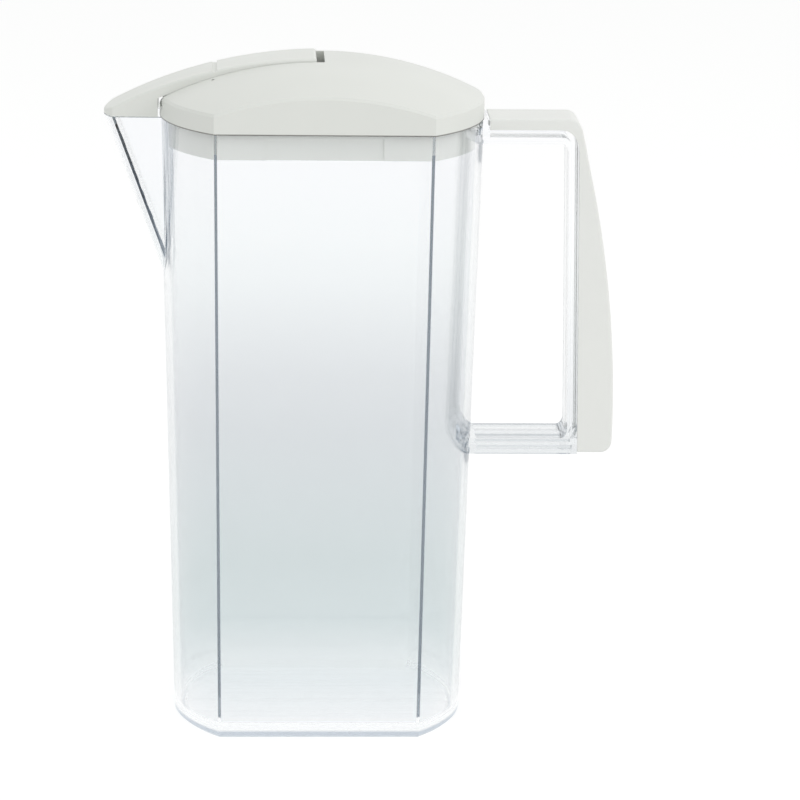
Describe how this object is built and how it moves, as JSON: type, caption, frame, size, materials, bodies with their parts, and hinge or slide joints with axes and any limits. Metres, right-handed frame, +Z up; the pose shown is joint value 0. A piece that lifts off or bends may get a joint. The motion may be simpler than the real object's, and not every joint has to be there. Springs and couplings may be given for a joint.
{
  "type": "serving pitcher",
  "caption": "Clear serving pitcher with a moulded spout, a white domed lid with a rocking pour flap, and a clear channel handle with a white grip cover.",
  "frame": {"origin": "middle of the jug's flat underside", "axes": "+Z up, spout towards -X, handle towards +X, +Y completes the set"},
  "size_m": [0.1879, 0.0904, 0.2491],
  "materials": {
    "clear_plastic": "clear and polished",
    "white_cover": "satin",
    "white_lid": "satin",
    "white_flap": "satin"
  },
  "bodies": {
    "jug": {"jug": "clear_plastic", "grip_cover": "white_cover"},
    "lid": {"lid": "white_lid"},
    "pour_flap": {"pour_flap": "white_flap"}
  },
  "joints": [
    {"name": "lid_lift", "type": "slide", "parent": "jug", "child": "lid", "axis": [0, 0, 1], "range_m": [0, 0.06]},
    {"name": "flap_rock", "type": "hinge", "parent": "lid", "child": "pour_flap", "pos_m": [-0.0391, 0, 0.2395], "axis": [0, 1, 0], "range_deg": [0, 9]}
  ]
}
